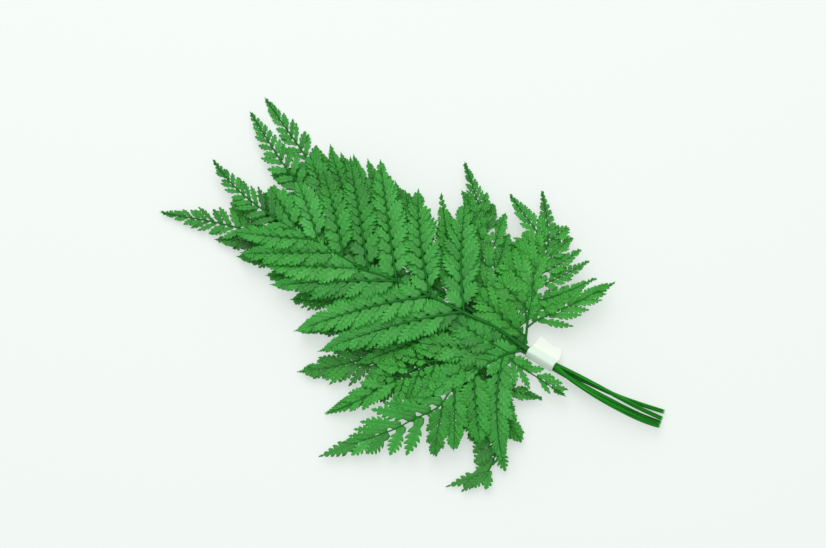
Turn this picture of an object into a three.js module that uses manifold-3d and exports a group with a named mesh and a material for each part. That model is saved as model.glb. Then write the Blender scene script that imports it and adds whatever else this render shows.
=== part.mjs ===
// A tied bundle of four preserved fern fronds that lies flat, bound near its cut stems with paper tape.
// Millimetres, Z up. Plan points are measured from the middle of the tape: the leaf tips lie toward -X,
// the cut stem ends toward +X. The whole bundle is moved to its own middle at the end.
import * as THREE from 'three';
import Module from 'manifold-3d';

const wasm = await Module();
wasm.setup();

// Stems and tape
const STEM_R = 1.35; // a cut stem is 2.7 mm thick
const STEM_GAP = 0.3; // kept between stems, and between a stem and the tape
const TAPE_LENGTH = 18.5;
const TAPE_THICK = 0.7;
const TAPE_Y = 0.2; // the tape's middle lies a little beside the origin
const FLAG_REACH = 8.2; // the two pinched tape ends stand out this far
const FLAG_THICK = 1.0;
const FLAG_RISE = 0.22; // its slope
const TAPE_SIDES = 24;
const ROD_SIDES = 6;
const MIDRIB_END_R = 0.5; // the midrib thins to this radius
const SIDE_RIB_R = 0.95; // the lowest leaves' ribs start at this radius
const SIDE_RIB_END_R = 0.6;
const RIB_LAP = 5; // a round rib runs this far on into the end leaf

// The four stems lie close-packed in the tape: one low, two side by side, one on top.
const STEM_STEP = 2 * STEM_R + STEM_GAP;
const ROW_STEP = STEM_STEP * Math.cos(Math.PI / 6);
const LOW_ROW = TAPE_THICK + STEM_GAP + STEM_R;
const MIDDLE_ROW = LOW_ROW + ROW_STEP;
const TOP_ROW = MIDDLE_ROW + ROW_STEP;

// Leaves
const BLADE = 0.7; // leaf thickness
const RIB = 0.7; // half width of the rib that the leaflets are cut down to
const BARE = 3; // a leaf's rib starts with this much bare stalk
const TIP_BARE = 0.03; // and ends in a point over this share of its length
const TAPER = 0.6; // how fast the leaflets shorten toward a leaf's tip
const SHOULDER = 0.74; // a leaflet keeps its width up to this share of its length
const LEAFLET_TIP = 0.62; // its tip stands this share of its width forward
const CROWD = 0.22; // leaflets stand closer together toward a leaf's tip
const LEAN = 0.9; // angle between a rib and its leaflets, radians
const SHINGLE = 1.1; // a leaf's edge lies this much above or below its rib
const SPREAD_FROM = 8; // the stacked leaf sheets part between these distances from the tape
const SPREAD_TO = 44;

// The middle of the whole bundle, from the tape
const MIDDLE = { x: -81.4, y: -15.3 };

// Each frond: the height of its leaf sheet, of its seat in the tape and of its cut end, how far the
// stem arches up between the two, how much its leaf tips sink, and the spacing of its leaflets.
const FROND_1 = { sheet: 14.5, seat: TOP_ROW, cut: 4.7, arch: 6.2, droop: 1.2, pitch: 9.5, seed: 3 };
const FROND_2 = { sheet: 10.3, seat: MIDDLE_ROW, cut: 4.4, arch: 4.8, droop: 1.2, pitch: 12, seed: 17 };
const FROND_3 = { sheet: 6.1, seat: MIDDLE_ROW, cut: 1.7, arch: 4, droop: 1.2, pitch: 11.5, seed: 29 };
const FROND_4 = { sheet: 1.35, seat: LOW_ROW, cut: 1.5, arch: 2.5, droop: 1.7, pitch: 12.5, seed: 41 };

function random(n) {
  const v = Math.sin(n * 12.9898) * 43758.5453;
  return v - Math.floor(v);
}

function smooth(from, to, v) {
  const t = Math.min(1, Math.max(0, (v - from) / (to - from)));
  return t * t * (3 - 2 * t);
}

// The share of the stack's height that is left at a place: the edges and the tips lie lower.
function press(x, y) {
  const low = 1 - 0.62 * smooth(50, 125, -y);
  const high = 1 - 0.3 * smooth(50, 95, y);
  const tips = 1 - 0.42 * smooth(150, 250, -x);
  return low * high * tips;
}

// Height of a frond's leaf sheet: in the tape at its seat, farther out at its own level in the stack.
function level(frond, x, y, lift = 0) {
  const out = smooth(SPREAD_FROM, SPREAD_TO, Math.hypot(x, y));
  const own = frond.seat + (frond.sheet - frond.seat) * out;
  return (own + lift) * press(x, y);
}

// A closed solid from points and triangles.
function solid(points, faces) {
  const vertProperties = new Float32Array(points.flat());
  const triVerts = new Uint32Array(faces.flat());
  return new wasm.Manifold(new wasm.Mesh({ numProp: 3, vertProperties, triVerts }));
}

function fused(solids) {
  return solids.reduce((whole, one) => whole.add(one));
}

// A rod of round section along 3D points, closed by a flat end at both sides.
function rod(path, radii) {
  const points = [];
  const faces = [];
  const last = path.length - 1;
  path.forEach((p, i) => {
    const ahead = path[Math.min(last, i + 1)].clone().sub(path[Math.max(0, i - 1)]).normalize();
    const side = new THREE.Vector3(0, 0, 1).cross(ahead).normalize();
    const up = ahead.clone().cross(side);
    for (let k = 0; k < ROD_SIDES; k += 1) {
      const a = (2 * Math.PI * (k + 0.5)) / ROD_SIDES;
      const q = p.clone().addScaledVector(side, radii[i] * Math.cos(a));
      q.addScaledVector(up, radii[i] * Math.sin(a));
      points.push(q.toArray());
    }
  });
  for (let i = 0; i < last; i += 1) {
    for (let k = 0; k < ROD_SIDES; k += 1) {
      const a = i * ROD_SIDES + k;
      const b = i * ROD_SIDES + ((k + 1) % ROD_SIDES);
      faces.push([a, b, a + ROD_SIDES], [b, b + ROD_SIDES, a + ROD_SIDES]);
    }
  }
  const end = last * ROD_SIDES;
  for (let k = 1; k < ROD_SIDES - 1; k += 1) {
    faces.push([0, k + 1, k], [end, end + k, end + k + 1]);
  }
  return solid(points, faces);
}

// A plan curve through a few points.
function planCurve(list) {
  const knots = list.map(([x, y]) => new THREE.Vector3(x, y, 0));
  return new THREE.CatmullRomCurve3(knots, false, 'centripetal');
}

// A thin sheet of even upright thickness: both faces carry the same triangles, and walls close the rim.
function sheet(mid, triangles) {
  const n = mid.length;
  const top = mid.map((p) => [p.x, p.y, p.z + BLADE / 2]);
  const under = mid.map((p) => [p.x, p.y, p.z - BLADE / 2]);
  const faces = [];
  const rim = new Map();
  triangles.forEach(([a, b, c]) => {
    faces.push([a, b, c], [a + n, c + n, b + n]);
    [[a, b], [b, c], [c, a]].forEach(([s, e]) => {
      const twin = `${e} ${s}`;
      if (!rim.delete(twin)) {
        rim.set(`${s} ${e}`, [s, e]);
      }
    });
  });
  rim.forEach(([s, e]) => faces.push([s, s + n, e + n], [s, e + n, e]));
  return solid([...top, ...under], faces);
}

// One leaf: a rib from root to tip with leaflets on both sides, each cut down to the rib.
// half: how far the longest leaflets reach to a side. bow: how far the rib's middle leaves the straight line,
// as a share of its length, toward +X when positive.
function leaf(frond, root, [tipX, tipY, half, bow = 0], order) {
  const dx = tipX - root.x;
  const dy = tipY - root.y;
  const length = Math.hypot(dx, dy);
  const turn = dy > 0 ? -1 : 1; // the side of travel that faces the stems
  const bend = { x: (root.x + tipX) / 2 - turn * dy * bow, y: (root.y + tipY) / 2 + turn * dx * bow };
  const count = Math.max(3, Math.round(length / frond.pitch));
  const stalk = Math.min(0.12, BARE / length);
  const at = (s) => {
    const r = 1 - s;
    const x = r * r * root.x + 2 * r * s * bend.x + s * s * tipX;
    const y = r * r * root.y + 2 * r * s * bend.y + s * s * tipY;
    const ux = r * (bend.x - root.x) + s * (tipX - bend.x);
    const uy = r * (bend.y - root.y) + s * (tipY - bend.y);
    const u = Math.hypot(ux, uy);
    return { x, y, ux: ux / u, uy: uy / u };
  };
  const place = (s, along, across) => {
    const p = at(s);
    const x = p.x + p.ux * along - p.uy * across;
    const y = p.y + p.uy * along + p.ux * across;
    const tilt = (turn * SHINGLE * across) / half;
    const z = level(frond, x, y, tilt * smooth(0, 0.15, s) - frond.droop * s * s);
    return { x, y, z: Math.max(z, BLADE / 2) };
  };
  const width = (s) => half * Math.min(1, 0.6 + 2.6 * s) * (1 - s) ** TAPER;
  const station = (i) => stalk + (1 - TIP_BARE - stalk) * (i / count) * (1 + CROWD - (CROWD * i) / count);
  const mid = [place(0, 0, RIB), place(0, 0, -RIB)];
  const triangles = [];
  for (let i = 0; i <= count; i += 1) {
    const rib = i === count ? 0.55 * RIB : RIB;
    mid.push(place(station(i), 0, rib), place(station(i), 0, -rib));
    const a = 2 * i;
    triangles.push([a, a + 1, a + 3], [a, a + 3, a + 2]);
  }
  mid.push(place(1, 0, 0));
  triangles.push([2 * count + 2, 2 * count + 3, 2 * count + 4]);
  for (let i = 0; i < count; i += 1) {
    const s = station(i);
    const next = station(i + 1);
    const back = 2 * i + 2;
    for (const way of [1, -1]) {
      const reach = width((s + next) / 2) * (0.94 + 0.12 * random(order * 61 + i * 2 + way));
      const wide = (next - s) * length;
      const slant = 1 / Math.tan(LEAN);
      const k = mid.length;
      mid.push(place(s, SHOULDER * reach * slant, way * (RIB + SHOULDER * reach)));
      mid.push(place(s, LEAFLET_TIP * wide + reach * slant, way * (RIB + reach)));
      const near = way > 0 ? back : back + 1;
      if (way > 0) {
        triangles.push([near, near + 2, k], [near + 2, k + 1, k]);
      } else {
        triangles.push([near, k, near + 2], [near + 2, k, k + 1]);
      }
    }
  }
  return sheet(mid, triangles);
}

// An axis with leaves on it. Each leaf row: millimetres along the axis, then the leaf's tip and shape.
function axisWithLeaves(frond, curve, path, radii, leaves, end) {
  const length = curve.getLength();
  const parts = [rod(path, radii)];
  leaves.forEach(([along, ...shape], i) => {
    const root = curve.getPointAt(Math.min(1, along / length));
    parts.push(leaf(frond, root, shape, frond.seed + i));
  });
  const [from, half] = end;
  const tip = curve.getPointAt(1);
  const start = curve.getPointAt(from / length);
  const middle = curve.getPointAt((from / length + 1) / 2);
  const reach = Math.hypot(tip.x - start.x, tip.y - start.y);
  const off = (middle.x - (start.x + tip.x) / 2) * (tip.y - start.y)
    - (middle.y - (start.y + tip.y) / 2) * (tip.x - start.x);
  const turn = tip.y > start.y ? -1 : 1;
  const bow = (-turn * 2 * off) / (reach * reach);
  parts.push(leaf(frond, start, [tip.x, tip.y, half, bow], frond.seed + 50));
  return fused(parts);
}

// A large lowest leaf: its rib is a thin rod that carries smaller leaves of its own.
function spray(frond, points, leaves, end) {
  const curve = planCurve(points);
  const steps = 7;
  const reach = (end[0] + RIB_LAP) / curve.getLength();
  const path = [];
  const radii = [];
  for (let i = 0; i <= steps; i += 1) {
    const p = curve.getPointAt((reach * i) / steps);
    path.push(new THREE.Vector3(p.x, p.y, level(frond, p.x, p.y)));
    radii.push(SIDE_RIB_R - ((SIDE_RIB_R - SIDE_RIB_END_R) * i) / steps);
  }
  return axisWithLeaves(frond, curve, path, radii, leaves, end);
}

// The stem from its cut end, through the tape, and on as the midrib to the last leaflets.
function midrib(frond, stem, ribPoints, leaves, end) {
  const curve = planCurve(ribPoints);
  const cut = stem[0];
  const path = planCurve(stem).getPoints(8).map((p) => {
    const t = (cut[0] - p.x) / (cut[0] - stem.at(-1)[0]);
    const arch = frond.arch * Math.sin(Math.PI * t);
    const base = frond.cut + (frond.seat - frond.cut) * smooth(0, 1, t);
    return new THREE.Vector3(p.x, p.y, base + arch);
  });
  const radii = path.map(() => STEM_R);
  const length = curve.getLength();
  const steps = 13;
  for (let i = 0; i <= steps; i += 1) {
    const t = (((end[0] + RIB_LAP) / length) * i) / steps;
    const p = curve.getPointAt(t);
    const r = STEM_R - (STEM_R - MIDRIB_END_R) * t ** 0.8;
    path.push(new THREE.Vector3(p.x, p.y, Math.max(level(frond, p.x, p.y), r)));
    radii.push(r);
  }
  return axisWithLeaves(frond, curve, path, radii, leaves, end);
}

// Top frond. Its two lowest leaves are the large sprays beside the tape.
function frond1() {
  const rib = [[-9.5, 0.2], [-32, 1.3], [-52, -0.8], [-77, -2.7], [-100, -5], [-122, -9.5],
    [-147, -9], [-178, -10], [-209, -7], [-221, -3.6], [-235, 1.6]];
  const stem = [[85.2, 1], [70, -2.2], [45, -3.9], [22, -2.4], [9.8, 0.2]];
  const leaves = [
    [45, -90, 61, 14, -0.06], [68, -119, 52, 14, -0.06], [91, -149, 56, 13], [109, -166, 48, 12],
    [127, -176, 32, 11, 0.04], [145, -186, 18, 10, 0.04], [160, -199, 6, 9, 0.03],
    [46, -118, -68, 14, -0.07], [68, -138, -63, 14, -0.07], [90, -165, -48, 13, -0.03],
    [113, -177, -39, 12], [132, -192, -40, 11], [149, -203, -30, 9, 0.03],
  ];
  const high = [[-11, -1], [-15, 8], [-19, 22], [-22, 37], [-26, 53], [-35, 69], [-53, 90]];
  const highLeaves = [
    [15, 17, 63, 13, 0.12], [26, 4, 60, 10], [38, -5, 67, 9], [48, -12, 71, 8], [58, -22, 76, 8],
    [13, -56, 12, 12, -0.08], [27, -48, 36, 11], [44, -50, 52, 9], [62, -69, 77, 9],
  ];
  const low = [[-13, -1], [-20, -12], [-30, -26], [-38, -40], [-44, -62], [-52, -80], [-66, -98],
    [-84, -122]];
  const lowLeaves = [
    [14, 21, -14, 8], [16, 14, -68, 12, -0.08], [34, -8, -67, 9], [52, -18, -78, 9],
    [70, -30, -87, 9], [86, -45, -97, 8],
    [14, -61, -8, 10, -0.04], [34, -72, -33, 10, 0.02], [54, -76, -60, 9], [74, -83, -82, 8],
  ];
  return fused([
    midrib(FROND_1, stem, rib, leaves, [168, 12]),
    spray(FROND_1, high, highLeaves, [64, 11]),
    spray(FROND_1, low, lowLeaves, [88, 11]),
  ]);
}

// Second frond, with its tip beside the third and fourth highest points of the outline.
function frond2() {
  const rib = [[-9.5, 1.7], [-30, 2.4], [-60, 3.7], [-94, 6.2], [-127, 7.6], [-153, 10],
    [-180, 16], [-199, 23], [-216, 32], [-232, 40.5]];
  const stem = [[84.3, 6], [65, 4.8], [45, 4], [25, 2.6], [9.8, 1.7]];
  const leaves = [
    [30, -104, 82, 17, 0.11], [54, -106, 58, 12], [78, -126, 48, 12], [102, -156, 52, 11],
    [124, -174, 47, 11], [146, -190, 38, 10],
    [34, -95, -62, 12], [60, -122, -50, 12], [84, -149, -46, 12], [108, -166, -28, 12],
    [130, -184, -16, 11], [152, -197, -3, 10],
  ];
  return midrib(FROND_2, stem, rib, leaves, [172, 11]);
}

// Third frond, the one that points farthest from the stems.
function frond3() {
  const rib = [[-9.5, -1.3], [-31, -3.4], [-60, -7], [-93, -12], [-127, -15.5], [-162, -18],
    [-188, -22], [-213, -28.5], [-237, -37], [-248.5, -41]];
  const stem = [[85, 3.8], [68, 0.6], [45, -1.2], [25, -1.6], [9.8, -1.3]];
  const leaves = [
    [34, -95, 48, 11], [60, -120, 40, 11], [86, -143, 36, 11], [110, -163, 26, 11],
    [134, -184, 16, 10], [156, -202, 2, 10], [176, -216, -12, 9],
    [30, -96, -97, 13, 0.03], [50, -124, -84, 18, 0.12], [78, -137, -60, 12],
    [102, -160, -50, 12], [124, -180, -44, 11], [146, -197, -43, 10], [168, -214, -42, 9],
  ];
  const low = [[-25, -2.9], [-20, -14], [-9, -34], [0, -54], [7, -70], [4, -85], [-10, -96]];
  const lowLeaves = [[26, 14, -22, 8], [44, 17, -49, 8], [60, 20, -69, 7], [54, -14, -80, 8]];
  return fused([midrib(FROND_3, stem, rib, leaves, [184, 10]), spray(FROND_3, low, lowLeaves, [70, 9])]);
}

// Lowest frond. The undersides of its leaves lie on the table.
function frond4() {
  const rib = [[-9.5, 0.2], [-32, 5], [-64, 10], [-99, 15], [-130, 18], [-158, 24], [-182, 32],
    [-202, 41], [-215, 47], [-229, 54.5]];
  const stem = [[83.4, 10.9], [66, 7], [50, 4.2], [27, 1.8], [9.8, 0.2]];
  const leaves = [
    [26, -50, 54, 10], [52, -98, 52, 11], [78, -136, 51, 11], [102, -158, 53, 10],
    [124, -174, 48, 10], [146, -191, 50, 9],
    [40, -92, -40, 12], [70, -122, -36, 12], [98, -150, -26, 12], [124, -174, -14, 11],
    [146, -190, 0, 10], [164, -204, 14, 9],
  ];
  return midrib(FROND_4, stem, rib, leaves, [170, 10]);
}

// The tape: a sleeve drawn tight round the four stems, with its two ends pinched to a flag.
function tape() {
  const centres = [[0, LOW_ROW], [STEM_STEP / 2, MIDDLE_ROW], [0, TOP_ROW], [-STEM_STEP / 2, MIDDLE_ROW]];
  const ring = (radius) => {
    const loop = [];
    for (let k = 0; k < TAPE_SIDES; k += 1) {
      const a = (2 * Math.PI * (k + 0.5)) / TAPE_SIDES;
      const toward = ([y, z]) => y * Math.cos(a) + z * Math.sin(a);
      const [y, z] = centres.reduce((far, one) => (toward(one) > toward(far) ? one : far));
      loop.push([y + TAPE_Y + radius * Math.cos(a), z + radius * Math.sin(a)]);
    }
    return loop;
  };
  const inside = STEM_R + STEM_GAP;
  return fused([sleeve(ring(inside + TAPE_THICK), ring(inside)), flag()]);
}

// The sleeve between two outlines in the YZ plane, swept along X.
function sleeve(outline, hole) {
  const n = outline.length;
  const points = [];
  for (const x of [-TAPE_LENGTH / 2, TAPE_LENGTH / 2]) {
    for (const loop of [outline, hole]) {
      loop.forEach(([y, z]) => points.push([x, y, z]));
    }
  }
  const faces = [];
  for (let i = 0; i < n; i += 1) {
    const j = (i + 1) % n;
    const far = 2 * n;
    faces.push([i, j, far + i], [j, far + j, far + i]);
    faces.push([n + i, far + n + i, n + j], [n + j, far + n + i, far + n + j]);
    faces.push([i, n + i, j], [j, n + i, n + j]);
    faces.push([far + i, far + j, far + n + i], [far + j, far + n + j, far + n + i]);
  }
  return solid(points, faces);
}

// The pinched ends: a slab that rises outward, with its free edge drawn in at one corner.
function flag() {
  const from = TAPE_Y + STEM_STEP / 2 + STEM_R + STEM_GAP + TAPE_THICK / 2;
  const tip = from + FLAG_REACH;
  const plan = [[-6.2, from], [8.4, from], [9.2, 0.6 * tip], [8.6, tip], [1.4, tip - 0.9], [-6, tip - 0.4]];
  const points = [];
  for (const half of [-FLAG_THICK / 2, FLAG_THICK / 2]) {
    plan.forEach(([x, y]) => points.push([x, y, MIDDLE_ROW + FLAG_RISE * (y - from) + half]));
  }
  const n = plan.length;
  const faces = [];
  for (let i = 0; i < n; i += 1) {
    const j = (i + 1) % n;
    faces.push([i, j, n + i], [j, n + j, n + i]);
  }
  for (let i = 1; i < n - 1; i += 1) {
    faces.push([0, i + 1, i], [n, n + i, n + i + 1]);
  }
  return solid(points, faces);
}

function toMesh(name, body, color, roughness) {
  const mesh = body.getMesh();
  const geometry = new THREE.BufferGeometry();
  geometry.setAttribute('position', new THREE.BufferAttribute(Float32Array.from(mesh.vertProperties), 3));
  geometry.setIndex(new THREE.BufferAttribute(Uint32Array.from(mesh.triVerts), 1));
  geometry.translate(-MIDDLE.x, -MIDDLE.y, 0);
  geometry.computeVertexNormals();
  const result = new THREE.Mesh(geometry, new THREE.MeshStandardMaterial({ color, roughness }));
  result.name = name;
  return result;
}

const bundle = new THREE.Group();
bundle.name = 'fern_bundle';
bundle.add(toMesh('frond_1', frond1(), 0x3f8d41, 0.55));
bundle.add(toMesh('frond_2', frond2(), 0x3c8a45, 0.55));
bundle.add(toMesh('frond_3', frond3(), 0x468c46, 0.55));
bundle.add(toMesh('frond_4', frond4(), 0x4c9a50, 0.55));
bundle.add(toMesh('tape', tape(), 0xe7f3e3, 0.7));

export default bundle;
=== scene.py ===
import math

import bpy
import numpy as np
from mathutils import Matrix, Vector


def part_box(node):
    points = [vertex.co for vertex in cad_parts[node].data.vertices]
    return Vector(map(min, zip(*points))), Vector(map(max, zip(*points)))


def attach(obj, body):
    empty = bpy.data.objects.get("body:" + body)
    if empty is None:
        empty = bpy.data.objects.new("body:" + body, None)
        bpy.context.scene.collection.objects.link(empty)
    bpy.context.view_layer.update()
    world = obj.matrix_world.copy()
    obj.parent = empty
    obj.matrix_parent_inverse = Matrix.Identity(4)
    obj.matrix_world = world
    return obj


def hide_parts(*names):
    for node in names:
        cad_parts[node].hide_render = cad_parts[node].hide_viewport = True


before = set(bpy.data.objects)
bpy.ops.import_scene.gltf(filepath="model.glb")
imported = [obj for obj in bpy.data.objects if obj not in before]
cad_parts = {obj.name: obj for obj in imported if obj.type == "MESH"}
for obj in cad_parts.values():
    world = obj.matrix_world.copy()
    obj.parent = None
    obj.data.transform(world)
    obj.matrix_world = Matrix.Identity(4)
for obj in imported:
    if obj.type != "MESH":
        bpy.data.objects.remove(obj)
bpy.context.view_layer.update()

# Where things lie.
# The bundle's plan is given in millimetres from the middle of the tape, which the frame's tape places,
# with -X toward the leaf tips and +X toward the cut stem ends.
MM = 0.001
TAPE_LENGTH = 18.5
TAPE_HALF_DEPTH = 3.85
tape_low, tape_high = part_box("tape")
PLAN_X = (tape_low.x + tape_high.x) / 2
PLAN_Y = tape_low.y + (TAPE_HALF_DEPTH - 0.2) * MM


def placed(points):
    """Millimetres from the tape's middle to metres in the frame."""
    return np.asarray(points, float) * MM + np.array([PLAN_X, PLAN_Y, 0.0])


def smooth(low, high, v):
    """0 below low, 1 above high, and 3t^2 - 2t^3 between them."""
    t = np.clip((v - low) / (high - low), 0, 1)
    return t * t * (3 - 2 * t)


def curve_through(points, count):
    """count points at equal arc steps on a curve through the given ones: cubic pieces whose slope at
    each point is the mean of the chords beside it, weighted by the square root of their lengths."""
    p = np.asarray(points, float)
    knots = np.r_[0, np.cumsum(np.linalg.norm(np.diff(p, axis=0), axis=1) ** 0.5)]
    chord = np.diff(p, axis=0) / np.diff(knots)[:, None]
    step = np.diff(knots)[:, None]
    inner = (chord[:-1] * step[1:] + chord[1:] * step[:-1]) / (step[1:] + step[:-1])
    slope = np.vstack([1.5 * chord[:1] - 0.5 * inner[:1], inner, 1.5 * chord[-1:] - 0.5 * inner[-1:]])
    at = np.linspace(0, knots[-1], 400)
    i = np.clip(np.searchsorted(knots, at, side="right") - 1, 0, len(knots) - 2)
    h = (knots[i + 1] - knots[i])[:, None]
    t = ((at - knots[i]) / h[:, 0])[:, None]
    fine = (
        (2 * t**3 - 3 * t**2 + 1) * p[i]
        + (t**3 - 2 * t**2 + t) * h * slope[i]
        + (3 * t**2 - 2 * t**3) * p[i + 1]
        + (t**3 - t**2) * h * slope[i + 1]
    )
    run = np.r_[0, np.cumsum(np.linalg.norm(np.diff(fine, axis=0), axis=1))]
    even = np.linspace(0, run[-1], count)
    return np.stack([np.interp(even, run, fine[:, k]) for k in range(fine.shape[1])], axis=1)


def piece(name, points, faces, material, node, attributes=(), flat=None):
    """A finished mesh piece in the frame: points in millimetres from the tape's middle, faces as an
    array of triangles or quads, named point attributes, and which faces are flat."""
    mesh = bpy.data.meshes.new(name)
    mesh.from_pydata(placed(points).tolist(), [], [list(map(int, f)) for f in faces])
    for key, values in attributes:
        values = np.asarray(values, np.float32)
        if values.ndim == 1:
            mesh.attributes.new(key, "FLOAT", "POINT").data.foreach_set("value", values)
        else:
            layer = mesh.uv_layers.new(name=key)
            corner = np.empty(len(mesh.loops), np.int32)
            mesh.loops.foreach_get("vertex_index", corner)
            layer.data.foreach_set("uv", values[corner].ravel())
    smooth_faces = np.ones(len(faces), bool) if flat is None else ~np.asarray(flat, bool)
    mesh.polygons.foreach_set("use_smooth", smooth_faces)
    mesh.materials.append(material)
    mesh.update()
    made = bpy.data.objects.new(name, mesh)
    bpy.context.scene.collection.objects.link(made)
    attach(made, "root")
    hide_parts(node)
    return made


# Leaf sheets.
# Four fronds lie on one another, each a thin arched sheet that starts at its stem's seat in the tape
# and lies at its own height farther out. The sheets come closer toward the edges and the tips.
SPREAD = (8.0, 44.0)


def level(frond, x, y, lift=0.0):
    """Height of a frond's sheet: from its seat to its own level with the distance from the tape, plus
    lift, times the share of the stack's height that is left toward the edges."""
    out = smooth(*SPREAD, np.hypot(x, y))
    own = frond["seat"] + (frond["sheet"] - frond["seat"]) * out
    low = 1 - 0.62 * smooth(50, 125, -y)
    high = 1 - 0.3 * smooth(50, 95, y)
    tips = 1 - 0.42 * smooth(150, 250, -x)
    return (own + lift) * low * high * tips


# Leaflets.
# The real leaf is cut into leathery leaflets that grow from both sides of its rib, lean toward its tip
# and overlap a little. Each leaflet here is its own thin closed blade with lobes cut into its edge.
CROWD = 0.42  # how much closer than on average the leaflets stand at a leaf's tip
SHINGLE = 1.1  # how far a leaf's two edges stand above and below its rib
LEAF_THICK = 0.36
LEAF_FULL = 1.08  # a leaflet's width in shares of its usual one
LEAF_LEAN = 42  # degrees between a leaf's rib and its leaflets
LEAF_START = 1.5  # bare rib between the midrib and a leaf's first leaflet
WARM_SPREAD = 0.45  # how far one leaf's colour may stand from the next one's
FINENESS = ((0, 3.2, 1), (3.2, 7, 2), (7, 14, 3), (14, 18, 4), (18, 99, 5))  # lengths and their lobes
LOBES_FROM = 0.24  # where the lobes begin along a blade


def leaf_axis(root, tip, bow, count=60):
    """Plan points along a leaf's rib, a three-point curve whose middle control point stands bow times
    the length off the straight line, and the side to which it bows."""
    root, tip = np.asarray(root, float), np.asarray(tip, float)
    d = tip - root
    turn = -1.0 if d[1] > 0 else 1.0
    bend = (root + tip) / 2 + turn * bow * np.array([-d[1], d[0]])
    s = np.linspace(0, 1, count)[:, None]
    return (1 - s) ** 2 * root + 2 * s * (1 - s) * bend + s**2 * tip, turn


def leaflets_on(axis, start, half, turn, lean_from, slim, warm, rng):
    """The leaflets on an axis from start on, as rows: foot x, y, direction x, y, length, width, side,
    share of the axis, tilt of the sheet, tone, warmth and the foot's share of the width. Their reach
    grows from 0.72 of the full one at the foot in a straight line, and falls in another to the tip: from
    0.44 of the length on, or from 0.2 on for a slim axis. Their steps shrink toward the tip, and their
    lean falls to 28 degrees. The last row is the leaf's own lobed tip."""
    run = np.r_[0, np.cumsum(np.linalg.norm(np.diff(axis, axis=0), axis=1))]
    length = run[-1] - start
    tip = (0.11 if slim > 0.9 else 0.05) * length + 1.5
    lobed = 1 - 0.6 * tip / length
    base = 0.58
    taper = 0.56 if slim > 0.9 else 0.8
    count = max(4, round(length / (2.8 * min(1, slim) + 0.25 * half)))
    spread = lean_from + rng.uniform(-4, 4)
    tone = rng.normal(0, 0.4)
    rows = []
    for side in (1, -1):
        v = (np.arange(count) + (0.3 if side > 0 else 0.65)) / count
        s = lobed * v * (1 + CROWD - CROWD * v)
        along = start + s * length
        foot, ahead, behind = (
            np.stack([np.interp(along + d, run, axis[:, k]) for k in (0, 1)], 1) for d in (0, 0.5, -0.5)
        )
        way = (ahead - behind) / np.linalg.norm(ahead - behind, axis=1, keepdims=True)
        full = np.minimum(1, 0.72 + 2 * s) * np.minimum(1, (1 - s) / taper)
        reach = np.maximum(0.9 * half * full, 1.1) * rng.uniform(0.9, 1.1, count)
        lean = np.radians(spread - (spread - 28) * s**1.5 + rng.uniform(-7, 7, count))
        normal = np.stack([-way[:, 1], way[:, 0]], 1) * side
        out = way * np.cos(lean)[:, None] + normal * np.sin(lean)[:, None]
        size = reach / np.sin(lean)
        step = length * lobed * (1 + CROWD - 2 * CROWD * v) / count
        width = (0.74 * step * np.sin(lean) * slim + 0.3) * rng.uniform(0.92, 1.12, count)
        width = np.minimum(width, 0.34 * size)
        tilt = np.full(count, turn * SHINGLE / half)
        tones = tone + rng.normal(0, 0.35, count)
        rows.append(np.column_stack([foot, out, size, width, np.full(count, side), s, tilt, tones,
                                     np.full(count, warm), np.full(count, base)]))
    last = axis[-1] - axis[-1 - len(axis) // 10]
    last /= np.linalg.norm(last)
    rows.append([[*(axis[-1] - tip * last), *last, tip * 1.05, 0.18 * tip * min(1, slim) + 0.2,
                  1, 1, 0, tone, warm, base]])
    return np.vstack(rows)


def whole_blades(axis, run, blades, warm, rng):
    """Rows like the leaflets', for large blades that are one piece with lobes: millimetres along the
    axis, the blade's tip, its half width, and 1 for one that ends the axis."""
    rows = []
    for along, x, y, half, *share in blades:
        root = np.array([np.interp(along, run, axis[:, k]) for k in (0, 1)])
        ahead = np.array([np.interp(along + 1, run, axis[:, k]) for k in (0, 1)]) - root
        way = np.array([x, y]) - root
        size = np.linalg.norm(way)
        side = 1 if ahead[0] * way[1] - ahead[1] * way[0] > 0 else -1
        rows.append([*root, *(way / size), size * 1.04, half, side, share[0] if share else 0.3, 0,
                     rng.normal(0, 0.4), warm + rng.uniform(0, 0.3), 0.55])
    return np.array(rows).reshape(-1, 12)


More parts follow.
